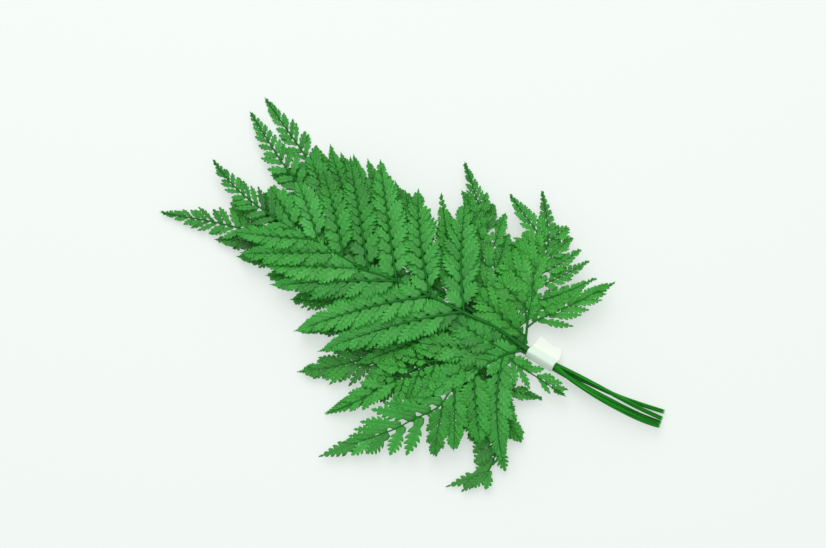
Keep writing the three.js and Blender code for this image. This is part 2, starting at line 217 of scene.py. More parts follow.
def leaflet_blades(frond, rows, teeth, rng):
    """Thin closed blades for all leaflets at once. Along a blade t runs from foot to tip and a from -1
    to 1 across. Its half width is an envelope times a saw of forward lobes, which cut deeper toward the
    tip and on large blades. The envelope is a spoon, blunt on small blades and a spear at a leaf's end.
    Rows are drawn forward with |a|, each blade banks and pitches a little, lobes bulge between sunk side
    veins, and margins and tip bend down."""
    t, saw = [0.0, 0.1], [1.0, 1.0]
    for k in range(teeth):
        pitch = (1 - LOBES_FROM) / teeth
        t += [LOBES_FROM + k * pitch, LOBES_FROM + (k + 0.34) * pitch, LOBES_FROM + (k + 0.78) * pitch]
        saw += [0.15, 0.85, 1.0]
    t, saw = np.array(t + [1.0]), np.array(saw + [0.6])
    a = np.array([-1, -0.6, -0.25, 0.25, 0.6, 1])
    n, r, c = len(rows), len(t), len(a)
    foot, way = rows[:, 0:2], rows[:, 2:4]
    size, width, side, share, tilt = (rows[:, k, None, None] for k in range(4, 9))
    base = rows[:, 11, None, None]
    T = t[None, :, None]
    A = a[None, None, :]
    S = saw[None, :, None]
    grown = 1 - smooth(2.5, 5.5, size)
    wedge = base + (1 - base) * np.sin(np.pi / 2 * np.minimum(1, T / 0.56))
    spoon = wedge * (1 - np.clip((T - 0.5) / 0.5, 0, 1) ** 1.5) ** 0.9
    blunt = np.sqrt(1 - T**3)
    envelope = spoon + (blunt - spoon) * grown
    spear = 0.6 + 0.4 * np.sin(np.pi / 2 * np.minimum(1, T / 0.3))
    spear = spear * (1 - np.clip((T - 0.15) / 0.85, 0, 1) ** 1.2)
    envelope += (spear - envelope) * (share == 1)
    envelope = np.maximum(envelope, 0.06 * (T < 1) + 0.015)
    cut = (0.32 + 0.34 * T) * (1 + 0.3 * smooth(9, 18, size))
    W = width * envelope * (1 - cut * (1 - S)) * 1.08
    along = size * T * 0.95 + np.abs(A) * W * (0.25 + 1.4 * T * (1 - T))
    curl = -side * np.minimum(size, 10) * rng.uniform(0.02, 0.12, n)[:, None, None] * T**2
    across = A * W + curl
    normal = np.stack([-way[:, 1], way[:, 0]], 1)
    x = foot[:, 0, None, None] + way[:, 0, None, None] * along + normal[:, 0, None, None] * across
    y = foot[:, 1, None, None] + way[:, 1, None, None] * along + normal[:, 1, None, None] * across
    bank = rng.uniform(0.02, 0.36, n)[:, None, None]
    pitch = rng.uniform(-0.12, 0.14, n)[:, None, None]
    scale = np.minimum(1, size / 9)
    lift = (
        tilt * side * along * np.sin(np.radians(50)) * smooth(0, 0.15, share)
        - frond["droop"] * share**2
        + side * bank * A * W * np.minimum(1, 2.2 / width)
        + pitch * along * np.minimum(1, 8 / size)
        + scale * (0.35 * np.sin(np.pi * T) - 0.6 * T**3)
        - 0.22 * A**2 * np.minimum(1, W / 2)
        + 0.32 * (S - 0.5) * np.abs(A) * np.minimum(1, W / 2.5)
        - 0.2 * (1 - np.minimum(1, np.abs(A) * 1.6)) * np.minimum(1, W / 1.5)
    )
    least = LEAF_THICK * 0.75 + rng.uniform(0, 0.7, n)[:, None, None]
    z = level(frond, x, y, lift)
    z = np.where(z < least + 0.5, least + 0.5 * np.exp(np.minimum(0, (z - least - 0.5) / 0.5)), z)
    top = np.stack([x, y, z + LEAF_THICK / 2], -1).reshape(n, r * c, 3)
    under = np.stack([x, y, z - LEAF_THICK / 2], -1).reshape(n, r * c, 3)
    points = np.concatenate([top, under], axis=1).reshape(-1, 3)
    i, j = np.meshgrid(np.arange(r - 1), np.arange(c - 1), indexing="ij")
    q = (i * c + j).ravel()
    upper = np.stack([q, q + c, q + c + 1, q + 1], 1)
    lower = upper[:, ::-1] + r * c
    ring = np.r_[np.arange(c), np.arange(1, r) * c + c - 1, (r - 1) * c + np.arange(c - 2, -1, -1),
                 np.arange(r - 2, 0, -1) * c]
    nxt = np.roll(ring, -1)
    wall = np.stack([ring, nxt, nxt + r * c, ring + r * c], 1)
    one = np.vstack([upper, lower, wall])
    faces = (one[None] + (np.arange(n) * 2 * r * c)[:, None, None]).reshape(-1, 4)
    flat = np.tile(np.r_[np.zeros(len(upper) * 2, bool), np.ones(len(wall), bool)], n)
    tone = np.repeat(rows[:, 9] + frond["tone"], 2 * r * c)
    warm = np.repeat(rows[:, 10], 2 * r * c)
    uv = np.stack(np.broadcast_arrays(A[0] * 0.5 + 0.5, (T[0] - LOBES_FROM) / (1 - LOBES_FROM) * teeth), -1)
    uv = np.tile(uv.reshape(r * c, 2), (2 * n, 1))
    return points, faces, flat, tone, warm, uv


def all_blades(frond, rows, rng):
    """Blades of all leaflets together, the longer ones with more lobes."""
    parts = []
    start = 0
    size = rows[:, 4] * np.where(rows[:, 7] == 1, 1.6, 1)
    for low, high, teeth in FINENESS:
        chosen = rows[(size >= low) & (size < high)]
        if len(chosen):
            points, faces, *rest = leaflet_blades(frond, chosen, teeth, rng)
            parts.append((points, faces + start, *rest))
            start += len(points)
    return [np.concatenate(group) for group in zip(*parts)]


ROD_SIDES = 10


def rods(paths):
    """Closed round rods along centre lines: for each, a ring of points square to the line at every
    step, with its radius, and a fan at both ends."""
    points, faces, run = [], [], []
    start = 0
    for line, radius in paths:
        line = np.asarray(line, float)
        n = len(line)
        ahead = np.gradient(line, axis=0)
        ahead /= np.linalg.norm(ahead, axis=1, keepdims=True)
        side = np.cross([0, 0, 1.0], ahead)
        side /= np.linalg.norm(side, axis=1, keepdims=True)
        up = np.cross(ahead, side)
        angle = 2 * np.pi * np.arange(ROD_SIDES) / ROD_SIDES
        ring = side[:, None] * np.cos(angle)[None, :, None] + up[:, None] * np.sin(angle)[None, :, None]
        body = line[:, None] + ring * np.asarray(radius, float)[:, None, None]
        points.append(np.vstack([body.reshape(-1, 3), line[:1], line[-1:]]))
        i, k = np.meshgrid(np.arange(n - 1), np.arange(ROD_SIDES), indexing="ij")
        a = (i * ROD_SIDES + k).ravel()
        b = (i * ROD_SIDES + (k + 1) % ROD_SIDES).ravel()
        faces.append(np.stack([a, b, b + ROD_SIDES, a + ROD_SIDES], 1) + start)
        k = np.arange(ROD_SIDES)
        k2 = (k + 1) % ROD_SIDES
        first, last = n * ROD_SIDES, n * ROD_SIDES + 1
        end = (n - 1) * ROD_SIDES
        caps = np.vstack([
            np.stack([np.full(ROD_SIDES, first), k2, k, k], 1),
            np.stack([np.full(ROD_SIDES, last), end + k, end + k2, end + k2], 1),
        ]) + start
        faces.append(caps)
        length = np.r_[0, np.cumsum(np.linalg.norm(np.diff(line, axis=0), axis=1))]
        around = np.tile(angle / (2 * np.pi), n)
        sides = np.column_stack([around, np.repeat(length, ROD_SIDES)])
        run.append(np.vstack([sides, [[0, 0], [0, length[-1]]]]))
        start += len(points[-1])
    quads = np.vstack(faces)
    return np.vstack(points), [f[:3] if f[2] == f[3] else f for f in quads.tolist()], np.vstack(run)


# Leaf and rib materials.
# Dyed and preserved leathery fern: a satin green blade with sunk veins that lets some light through,
# and darker, smoother ribs and stems.
def mixed(tree, a, b, factor, blend="MIX"):
    """A colour mix node of two inputs, each a socket or a colour."""
    node = tree.nodes.new("ShaderNodeMix")
    node.data_type = "RGBA"
    node.blend_type = blend
    for socket, value in ((node.inputs[6], a), (node.inputs[7], b), (node.inputs[0], factor)):
        if isinstance(value, bpy.types.NodeSocket):
            tree.links.new(value, socket)
        elif isinstance(value, tuple):
            socket.default_value = (*value, 1.0)
        else:
            socket.default_value = value
    return node.outputs[2]


def number(tree, operation, a, b=0.0, clamp=False):
    """A math node of two inputs, each a socket or a number."""
    node = tree.nodes.new("ShaderNodeMath")
    node.operation = operation
    node.use_clamp = clamp
    for socket, value in ((node.inputs[0], a), (node.inputs[1], b)):
        if isinstance(value, bpy.types.NodeSocket):
            tree.links.new(value, socket)
        else:
            socket.default_value = value
    return node.outputs[0]


WARM_GREEN = (0.035, 0.47, 0.006)


def leaf_material(name, dark, mid, light):
    """Blade colour by a leaflet's tone and warmth and by cloudy noise, with streaks along it, a painted
    shade at its foot where the leaflets overlap near the rib, darker middle and side veins, and a little
    light let through."""
    material = bpy.data.materials.new(name)
    material.use_nodes = True
    tree = material.node_tree
    shader = tree.nodes["Principled BSDF"]
    tone = tree.nodes.new("ShaderNodeAttribute")
    tone.attribute_name = "tone"
    place = tree.nodes.new("ShaderNodeTexCoord")
    cloud = tree.nodes.new("ShaderNodeTexNoise")
    cloud.inputs["Scale"].default_value = 55
    cloud.inputs["Detail"].default_value = 4
    tree.links.new(place.outputs["Object"], cloud.inputs["Vector"])
    shade = number(tree, "MULTIPLY", tone.outputs["Fac"], 0.28)
    shade = number(tree, "ADD", shade, number(tree, "MULTIPLY", cloud.outputs["Fac"], 0.7))
    shade = number(tree, "ADD", shade, 0.15, clamp=True)
    ramp = tree.nodes.new("ShaderNodeValToRGB")
    ramp.color_ramp.elements[0].position = 0.12
    ramp.color_ramp.elements[0].color = (*dark, 1)
    ramp.color_ramp.elements[1].position = 0.92
    ramp.color_ramp.elements[1].color = (*light, 1)
    middle = ramp.color_ramp.elements.new(0.5)
    middle.color = (*mid, 1)
    tree.links.new(shade, ramp.inputs["Fac"])
    warmth = tree.nodes.new("ShaderNodeAttribute")
    warmth.attribute_name = "warm"
    green = mixed(tree, ramp.outputs["Color"], WARM_GREEN,
                  number(tree, "MULTIPLY", warmth.outputs["Fac"], 0.6, clamp=True))
    along = tree.nodes.new("ShaderNodeUVMap")
    along.uv_map = "leaf"
    parts = tree.nodes.new("ShaderNodeSeparateXYZ")
    tree.links.new(along.outputs["UV"], parts.inputs[0])
    off = number(tree, "ABSOLUTE", number(tree, "SUBTRACT", parts.outputs["X"], 0.5))
    vein = number(tree, "SUBTRACT", 1.0, number(tree, "MULTIPLY", off, 9.0), clamp=True)
    beat = number(tree, "COSINE", number(tree, "MULTIPLY", parts.outputs["Y"], math.pi))
    beat = number(tree, "POWER", number(tree, "ABSOLUTE", beat), 8.0)
    veins = number(tree, "MAXIMUM", vein, number(tree, "MULTIPLY", beat, 0.6))
    grain = tree.nodes.new("ShaderNodeTexNoise")
    grain.noise_dimensions = "2D"
    grain.inputs["Scale"].default_value = 1.0
    grain.inputs["Detail"].default_value = 2
    lengthen = tree.nodes.new("ShaderNodeMapping")
    lengthen.inputs["Scale"].default_value = (13.0, 0.5, 1.0)
    tree.links.new(along.outputs["UV"], lengthen.inputs["Vector"])
    tree.links.new(lengthen.outputs["Vector"], grain.inputs["Vector"])
    streaked = number(tree, "MULTIPLY", number(tree, "SUBTRACT", grain.outputs["Fac"], 0.35), 1.3, clamp=True)
    green = mixed(tree, green, tuple(0.45 * v for v in mid), number(tree, "MULTIPLY", streaked, 0.6))
    # Painted shade: each leaflet is darkened toward its foot by the rib, where its neighbours overlap and
    # shade it.
    painted_foot_shade = number(tree, "SUBTRACT", 0.45, number(tree, "MULTIPLY", parts.outputs["Y"], 0.4), clamp=True)
    green = mixed(tree, green, tuple(0.35 * v for v in mid), number(tree, "MULTIPLY", painted_foot_shade, 0.4))
    colour = mixed(tree, green, tuple(0.6 * v for v in dark), number(tree, "MULTIPLY", veins, 0.22))
    tree.links.new(colour, shader.inputs["Base Color"])
    shader.inputs["Roughness"].default_value = 0.5
    shader.inputs["Specular IOR Level"].default_value = 0.7
    bump = tree.nodes.new("ShaderNodeBump")
    bump.inputs["Strength"].default_value = 0.6
    bump.inputs["Distance"].default_value = 0.0003
    relief = number(tree, "SUBTRACT", cloud.outputs["Fac"], veins)
    relief = number(tree, "SUBTRACT", relief, number(tree, "MULTIPLY", grain.outputs["Fac"], 0.8))
    tree.links.new(relief, bump.inputs["Height"])
    tree.links.new(bump.outputs["Normal"], shader.inputs["Normal"])
    through = tree.nodes.new("ShaderNodeBsdfTranslucent")
    tree.links.new(mixed(tree, colour, (0.12, 0.75, 0.08), 0.35), through.inputs["Color"])
    blend = tree.nodes.new("ShaderNodeMixShader")
    blend.inputs[0].default_value = 0.22
    tree.links.new(shader.outputs[0], blend.inputs[1])
    tree.links.new(through.outputs[0], blend.inputs[2])
    tree.links.new(blend.outputs[0], tree.nodes["Material Output"].inputs["Surface"])
    return material


CUT_GREEN = (0.20, 0.48, 0.17)
RIB_GREEN = (0.008, 0.14, 0.012)


def rib_material(name, dark, light, roughness):
    """Rib and stem colour with long streaks: noise stretched along the rod by its own coordinates."""
    material = bpy.data.materials.new(name)
    material.use_nodes = True
    tree = material.node_tree
    shader = tree.nodes["Principled BSDF"]
    along = tree.nodes.new("ShaderNodeUVMap")
    along.uv_map = "leaf"
    stretch = tree.nodes.new("ShaderNodeMapping")
    stretch.inputs["Scale"].default_value = (9.0, 0.03, 1.0)
    tree.links.new(along.outputs["UV"], stretch.inputs["Vector"])
    streak = tree.nodes.new("ShaderNodeTexNoise")
    streak.inputs["Scale"].default_value = 1.0
    streak.inputs["Detail"].default_value = 3
    tree.links.new(stretch.outputs["Vector"], streak.inputs["Vector"])
    ramp = tree.nodes.new("ShaderNodeValToRGB")
    ramp.color_ramp.elements[0].position = 0.38
    ramp.color_ramp.elements[0].color = (*dark, 1)
    ramp.color_ramp.elements[1].position = 0.68
    ramp.color_ramp.elements[1].color = (*light, 1)
    tree.links.new(streak.outputs["Fac"], ramp.inputs["Fac"])
    parts = tree.nodes.new("ShaderNodeSeparateXYZ")
    tree.links.new(along.outputs["UV"], parts.inputs[0])
    stem = tree.nodes.new("ShaderNodeAttribute")
    stem.attribute_name = "stem"
    green = mixed(tree, RIB_GREEN, ramp.outputs["Color"], stem.outputs["Fac"])
    cut = number(tree, "MULTIPLY", number(tree, "LESS_THAN", parts.outputs["Y"], 0.8), stem.outputs["Fac"])
    tree.links.new(mixed(tree, green, CUT_GREEN, cut), shader.inputs["Base Color"])
    shader.inputs["Roughness"].default_value = roughness
    shader.inputs["Specular IOR Level"].default_value = 0.15
    bump = tree.nodes.new("ShaderNodeBump")
    bump.inputs["Strength"].default_value = 0.5
    bump.inputs["Distance"].default_value = 0.0004
    tree.links.new(streak.outputs["Fac"], bump.inputs["Height"])
    tree.links.new(bump.outputs["Normal"], shader.inputs["Normal"])
    return material


def frond_pieces(frond, axes):
    """All blades and ribs of one frond. axes: list of (plan points, ribs' radii, leaves, whole blades,
    end leaf, stem line). A leaf row is millimetres along the axis, the leaf's tip, its half width, bow,
    warmth and slimness. The end leaf is its start along the axis, its half width, the leaflets' lean in
    degrees and their slimness, and the warmth of all blades on the axis. An end leaf that starts past
    the axis is left out."""
    rng = np.random.default_rng(frond["seed"])
    lines = []
    for count, (points, radii, leaves, blades, end, stem) in enumerate(axes):
        rows = []
        axis = curve_through(points, 240)
        run = np.r_[0, np.cumsum(np.linalg.norm(np.diff(axis, axis=0), axis=1))]
        start, end_half, lean, slim, glow = end
        for along, x, y, half, *more in leaves:
            bow, warm, fullness = more + [0.0, 0.0, LEAF_FULL][len(more):]
            root = [np.interp(along, run, axis[:, k]) for k in (0, 1)]
            leaf, turn = leaf_axis(root, (x, y), bow)
            warm = warm + glow + rng.uniform(0, WARM_SPREAD)
            rows.append(leaflets_on(leaf, LEAF_START, half, turn, LEAF_LEAN, fullness, warm, rng))
            lines.append(rib_line(frond, leaf))
        if start < run[-1]:
            rows.append(leaflets_on(axis, start, end_half, 0.0, lean, slim, glow, rng))
        rows.append(whole_blades(axis, run, blades, glow, rng))
        reach = run <= run[-1] - 1.5
        rib = axis[reach]
        radius = radii[0] + (radii[1] - radii[0]) * (run[reach] / run[-1]) ** 0.55
        line = np.column_stack([rib, np.maximum(level(frond, rib[:, 0], rib[:, 1]), radius)])
        if stem is not None:
            line = np.vstack([stem, line[1:]])
            radius = np.r_[np.full(len(stem), radii[0]), radius[1:]]
        lines.append((line, radius))
        points_, faces, flat, tone, warm, uv = all_blades(frond, np.vstack(rows), rng)
        piece(f"{frond['node']}_blades_{count + 1}", points_, faces, frond["leaf"], frond["node"],
              [("tone", tone), ("warm", warm), ("leaf", uv)], flat)
    points_, faces, uv = rods(lines)
    stem = smooth(-14, -2, points_[:, 0]) * (points_[:, 1] > -8)
    piece(f"{frond['node']}_ribs", points_, faces, frond["rib"], frond["node"],
          [("stem", stem), ("leaf", uv)])


def rib_line(frond, leaf):
    """A leaf's own rib: a rod that thins from root to tip and stands up from the blades' sheet."""
    s = np.linspace(0, 1, len(leaf))[:-2]
    at = leaf[:-2]
    length = np.linalg.norm(leaf[-1] - leaf[0])
    radius = 0.26 + 0.006 * length * (1 - s)
    z = level(frond, at[:, 0], at[:, 1], -frond["droop"] * s**2 + 0.3 * (1 - s))
    return np.column_stack([at, np.maximum(z, radius)])[::3], radius[::3]


def stem_line(frond, points):
    """A cut stem from its end through the tape: it arches up from the cut and comes down to its seat."""
    plan = curve_through(points, 26)
    t = (plan[0, 0] - plan[:, 0]) / (plan[0, 0] - plan[-1, 0])
    z = frond["cut"] + (frond["seat"] - frond["cut"]) * smooth(0, 1, t) + frond["arch"] * np.sin(np.pi * t)
    through = np.array([[-9.5, points[-1][1], frond["seat"]]])
    return np.vstack([np.column_stack([plan, z]), through])


# Stems.
# The four cut stems are the thick ends of the midribs. They pass through the tape side by side in a
# rhombus, one low, two in the middle and one on top, which sets the height each frond starts from.
STEM_R = 1.35
RIBS = (STEM_R, 0.45)
SIDE_RIBS = (0.95, 0.4)
LEAF_RIBS = (0.75, 0.3)
STEM_STEP = 3.0
LOW_SEAT = 2.35
MIDDLE_SEAT = LOW_SEAT + STEM_STEP * math.cos(math.pi / 6)
TOP_SEAT = MIDDLE_SEAT + STEM_STEP * math.cos(math.pi / 6)

stem_green = rib_material("stem green", (0.0004, 0.085, 0.0006), (0.006, 0.34, 0.006), 0.36)

# Lowest frond.
# A cut and dyed fern leaf whose stem runs lowest through the tape. Its leaf tips and leaflet edges lie
# on the table, and only its upper tips show past the others.
frond_4 = {
    "node": "frond_4", "slot": "leaf_lowest", "sheet": 1.35, "seat": LOW_SEAT, "cut": 1.5, "arch": 2.5,
    "droop": 1.7, "seed": 41, "tone": 0.1, "rib": stem_green,
    "leaf": leaf_material("leaf lowest", (0.003, 0.18, 0.003), (0.014, 0.38, 0.013), (0.05, 0.50, 0.045)),
}
frond_pieces(frond_4, [(
    [(-9.5, 0.2), (-32, 5), (-64, 10), (-99, 15), (-130, 18), (-158, 24), (-182, 32), (-202, 41),
     (-216.2, 47.3), (-234, 55.5)],
    RIBS,
    [(10, -54, 30, 11), (12, -52, -22, 11), (26, -50, 54, 10), (52, -98, 52, 11), (78, -136, 51, 11),
     (102, -158, 54.5, 8.5),
     (124, -174.5, 49.5, 8), (146, -190, 45, 7), (40, -92, -40, 12), (70, -122, -36, 12),
     (98, -150, -26, 12), (124, -174, -14, 11), (146, -190, 0, 10), (164, -204, 14, 9)],
    [],
    (170, 13, 52, 0.62, 0),
    stem_line(frond_4, [(81, 11.2), (65, 7.2), (50, 4.2), (27, 1.8), (9.8, 0.2)]),
)])

# Third frond, the one that points farthest from the stems.
# A cut and dyed fern leaf, held by the tape beside the second one's stem. A dark side leaf of it hangs
# out below the bundle.
frond_3 = {
    "node": "frond_3", "slot": "leaf_third", "sheet": 6.1, "seat": MIDDLE_SEAT, "cut": 1.7, "arch": 4.0,
    "droop": 1.2, "seed": 29, "tone": -0.2, "rib": stem_green,
    "leaf": leaf_material("leaf third", (0.004, 0.17, 0.003), (0.018, 0.37, 0.013), (0.06, 0.48, 0.045)),
}
frond_pieces(frond_3, [
    (
        [(-9.5, -1.3), (-31, -3.4), (-60, -7), (-93, -12), (-127, -15.5), (-162, -18), (-188, -22),
         (-213, -28.5), (-238, -37.5), (-250.3, -42)],
        RIBS,
        [(14, -66, 32, 11), (16, -64, -40, 12), (34, -95, 48, 11), (60, -120, 40, 11), (86, -143, 36, 11),
         (110, -163, 26, 11), (134, -184, 16, 10), (156, -202, 2, 10), (176, -216, -12, 9),
         (30, -96, -97, 13, 0.03), (20, -55.6, -74.8, 8),
         (50, -124, -84, 18, 0.12), (78, -136, -62.5, 12), (102, -151, -48, 11), (124, -172, -43, 10),
         (146, -194, -42, 9), (168, -211.5, -39.5, 7.5)],
        [],
        (184, 12.5, 52, 0.62, 0),
        stem_line(frond_3, [(82.6, 4.2), (67, 1.2), (45, -0.8), (25, -1.4), (9.8, -1.3)]),
    ),
    (
        [(-25, -2.9), (-20, -14), (-9, -34), (-1.1, -53.2), (5.4, -64), (7.6, -73.7), (6.6, -78.5)],
        SIDE_RIBS,
        [(14, -32, -58, 9), (22, -21, -65, 9), (34, -10, -66, 9),
         (28, 13.5, -20.8, 6, 0, 0, 0.75), (30, 9, -50, 7), (44, 16, -49.5, 6)],
        [(40, -13.6, -66, 4.4), (52, -11, -63, 4.5), (58, -7, -71, 5), (66, -3, -76, 5), (72, 1.5, -81, 4.4),
         (62, 17, -70.5, 4), (80, 12.8, -86, 3.2), (82, 4.2, -90.8, 3), (83, -1, -95, 2.6),
         (84, -10.5, -97, 4.6, 1)],
        (199, 0, 46, 0.95, 0),
        None,
    ),
])

# Second frond.
# A cut and dyed fern leaf, held by the tape beside the third one's stem. It lies over the third, with
# its large lowest leaf standing past the upper edge of the bundle.
frond_2 = {
    "node": "frond_2", "slot": "leaf_second", "sheet": 10.3, "seat": MIDDLE_SEAT, "cut": 4.4, "arch": 4.8,
    "droop": 1.2, "seed": 17, "tone": 0.0, "rib": stem_green,
    "leaf": leaf_material("leaf second", (0.003, 0.18, 0.003), (0.014, 0.37, 0.015), (0.05, 0.48, 0.055)),
}
frond_pieces(frond_2, [
    (
        [(-9.5, 1.7), (-30, 2.4), (-60, 3.7), (-94, 6.2), (-127, 7.6), (-153, 10), (-180, 16), (-199, 23),
         (-217, 32), (-236.3, 42)],
        RIBS,
        [(54, -106, 58, 12, 0, 0.6, 0.9), (78, -126, 48, 12), (108, -165.8, 51, 8.5),
         (128, -181.6, 49, 8), (146, -190, 38, 10), (34, -95, -62, 12), (60, -122, -50, 12),
         (84, -149, -46, 12), (108, -166, -28, 12), (130, -184, -16, 11), (152, -197, -3, 10)],
        [(3, -33, 15, 4.6), (6, -34, -8, 4.6), (10, -42, 12, 5)],
        (172, 13, 52, 0.62, 0),
        stem_line(frond_2, [(82, 6.4), (64, 4), (45, 2.9), (25, 2.3), (9.8, 1.7)]),
    ),
    (
        [(-27.4, 2.4), (-40, 20), (-54, 35), (-69, 50), (-85, 66), (-104, 83)],
        SIDE_RIBS,
        [(24, -49, 56, 8, 0, 0.6), (38, -57, 57, 6), (50, -65, 68, 5.2), (62, -75, 69, 4.6), (72, -82, 73, 4),
         (20, -62, 22, 12), (36, -80, 38, 11), (50, -87, 54, 6.5), (62, -96, 66, 5)],
        [],
        (60, 9.5, 46, 0.6, 0.2),
        None,
    ),
])

# Top frond.
# A cut and dyed fern leaf whose stem runs highest through the tape. Its two lowest leaves are large
# sprays beside the tape, with ribs that carry leaves of their own.
frond_1 = {
    "node": "frond_1", "slot": "leaf_top", "sheet": 14.5, "seat": TOP_SEAT, "cut": 4.7, "arch": 6.2,
    "droop": 1.2, "seed": 3, "tone": 0.1, "rib": stem_green,
    "leaf": leaf_material("leaf top", (0.003, 0.20, 0.004), (0.016, 0.40, 0.018), (0.06, 0.52, 0.065)),
}
frond_pieces(frond_1, [
    (
        [(-9.5, 0.2), (-32, 1.3), (-52, -0.8), (-77, -2.7), (-100, -5), (-122, -9.5), (-147, -9),
         (-178, -10), (-209, -7), (-222, -3.7), (-239.3, 3)],
        RIBS,
        [(45, -90, 61, 14, -0.06), (68, -119, 52, 14, -0.06), (91, -149, 56, 13), (109, -166, 48, 12),
         (127, -176, 32, 11, 0.04), (145, -186, 18, 10, 0.04), (160, -199, 6, 9, 0.03),
         (46, -118, -68, 14, -0.07), (68, -137, -65, 14, -0.07), (90, -165, -48, 13, -0.03),
         (113, -177, -39, 12), (132, -192, -40, 11), (149, -203, -30, 9, 0.03)],
        [],
        (168, 13, 52, 0.62, 0),
        stem_line(frond_1, [(82.8, 1.5), (69, -1.9), (45, -3.9), (22, -2.4), (9.8, 0.2)]),
    ),
    (
        [(-11.7, 0.6), (-15.1, 7.9), (-20, 18.9), (-22.4, 25.9), (-23.2, 33.9), (-26.4, 45.2), (-29.8, 57.9),
         (-33.2, 64.9), (-40.5, 76.3), (-53.2, 91.1)],
        SIDE_RIBS,
        [(7, -54, 14, 13, -0.06), (22, -46, 27, 13, 0.02), (34, -49, 38, 13, 0.04), (46, -46, 50, 13),
         (55, -48, 58, 12), (20, -4, 47, 6.5, 0.08),
         (28, 4, 60, 7, 0.1, 0, 0.7), (38, -5, 67.5, 7, 0.06, 0, 0.7), (46, -13, 71, 7, 0.06, 0, 0.7),
         (56, -21, 75, 7, 0, 0, 0.7), (67, -27, 79, 7, 0, 0, 0.7),
         (12, -33, 38, 9, -0.05), (28, -37, 60, 9, -0.04)],
        [],
        (48, 10.5, 46, 0.74, 0.5),
        None,
    ),
    (
        [(-31, 60), (-44, 67), (-56, 72.5), (-69, 78.5)],
        LEAF_RIBS,
        [],
        [],
        (1, 9.5, 46, 0.72, 0.1),
        None,
    ),
    (
        [(-17, 11), (-14, 18.5), (-11.4, 22.3), (-5.9, 30.1), (0.5, 38.5), (5.3, 46.1), (9.7, 53.7),
         (16.4, 63.6)],
        LEAF_RIBS,
        [],
        [(9, 8, 26, 2.4), (16, 9, 34, 2.7), (24, 11, 40, 2.6), (32, 15, 49, 2.4), (39, 15, 54, 1.9),
         (6, -19, 30, 2.6), (13, -11, 37, 2.7), (21, -6, 44, 2.6), (29, 0, 49, 2.4), (35, 5, 54, 2.2),
         (41, 8, 58, 2), (46, 11, 61, 1.7), (50, 14, 59, 1.6), (44, 16.4, 63.6, 3.4, 1)],
        (99, 0, 0, 0, 0.6),
        None,
    ),
    (
        [(-12.4, -2.1), (-20.4, -10.3), (-26.4, -21.8), (-33.5, -35.1), (-36.3, -46), (-37.9, -58.9),
         (-43.1, -67.5), (-47.9, -74.3), (-53.1, -82.8), (-59.1, -90.1), (-64.2, -96.2), (-69.3, -102.3)],
        SIDE_RIBS,
        [(8, -61, -8, 13, 0.03), (15, -69, -32, 13, -0.05), (27, -50, -50, 10, -0.05),
         (44, -58, -60, 8), (12, 14, -69, 11, -0.12), (33, -4, -66, 11, -0.03), (48, -16, -77, 9),
         (60, -25, -86, 8)],
        [(3, -30, -8, 4.5), (5, -23, -24, 4.4), (76, -39, -94, 4.6), (88, -48, -99, 4.4),
         (98, -61, -105.5, 5), (108, -68, -111, 3.6),
         (117, -85, -122, 5.4, 1), (60, -57, -63, 4.2), (69, -69, -73, 4.2), (79, -73, -80, 4.3),
         (89, -75, -90, 3.9), (98, -76, -96, 3), (106, -76.5, -101, 2.4), (112, -78, -106, 2)],
        (199, 0, 46, 0.95, 0),
        None,
    ),
    (
        [(-26.1, -18.8), (-40.9, -25.2), (-53.8, -34.8), (-62.1, -46.1), (-68.1, -57.7), (-77.5, -73.2),
         (-83.4, -82.9), (-95.2, -97.5)],
        LEAF_RIBS,
        [(16, -34, -48, 5), (32, -48, -62, 5.6), (42, -55, -67, 5.2), (52, -61, -72, 4.6),
         (25, -71, -35, 5), (36, -79, -45, 5.2), (48, -85, -56, 5), (58, -85, -63, 4.4)],
        [(61, -72, -75, 3.7), (69, -74, -80, 3.2), (77, -76, -84, 2.7), (84, -82, -89, 2.2),
         (67, -87, -70, 3.6), (76, -90, -79, 2.9), (83, -91, -85, 2.4), (88, -95.2, -97.5, 3.2, 1)],
        (199, 0, 0, 0, 0.35),
        None,
    ),
    (
        [(-17.2, -9.7), (-11.3, -11.1), (-6.9, -11.3), (-0.1, -11.3), (10.7, -11.8), (17, -12.8),
         (25.2, -12)],
        LEAF_RIBS,
        [],
        [(1, -22, -24, 3.6), (1, -6, -7, 3.4), (4, -3, -5, 2.6), (8, -1, -6, 2.4),
         (14, 5, -4, 2.4), (21, 13, -5, 2.3), (27, 19, -6, 2.2),
         (8, 4, -21, 2.4), (4, -5, -23, 2.6), (23, 16, -17, 1.8), (32, 24, -8, 1.7),
         (34, 25.2, -12, 2.2, 1)],
        (99, 0, 0, 0, 0.3),
        None,
    ),
])

# Tape.
# One strip of thin white paper goes round the four stems and is pinched together beside them, and its
# end stands off as a soft flag. The band is painted a shaded grey-green all over, and the flag fades from
# that painted shade at its root to the paper's white toward its free edge.
PAPER = 0.3
# Painted shade: the shaded grey-green put on the whole band and on the flag's root.
PAPER_PAINTED_SHADE = (0.70, 0.82, 0.71)
PAPER_WHITE = (0.86, 0.90, 0.82)
BAND_RADIUS = STEM_R + 0.75
FLAG_FROM = 3.3
FLAG_RISE = 0.3
STEM_PLACES = np.array([
    [0.2, LOW_SEAT], [0.2 + STEM_STEP / 2, MIDDLE_SEAT], [0.2, TOP_SEAT], [0.2 - STEM_STEP / 2, MIDDLE_SEAT],
])


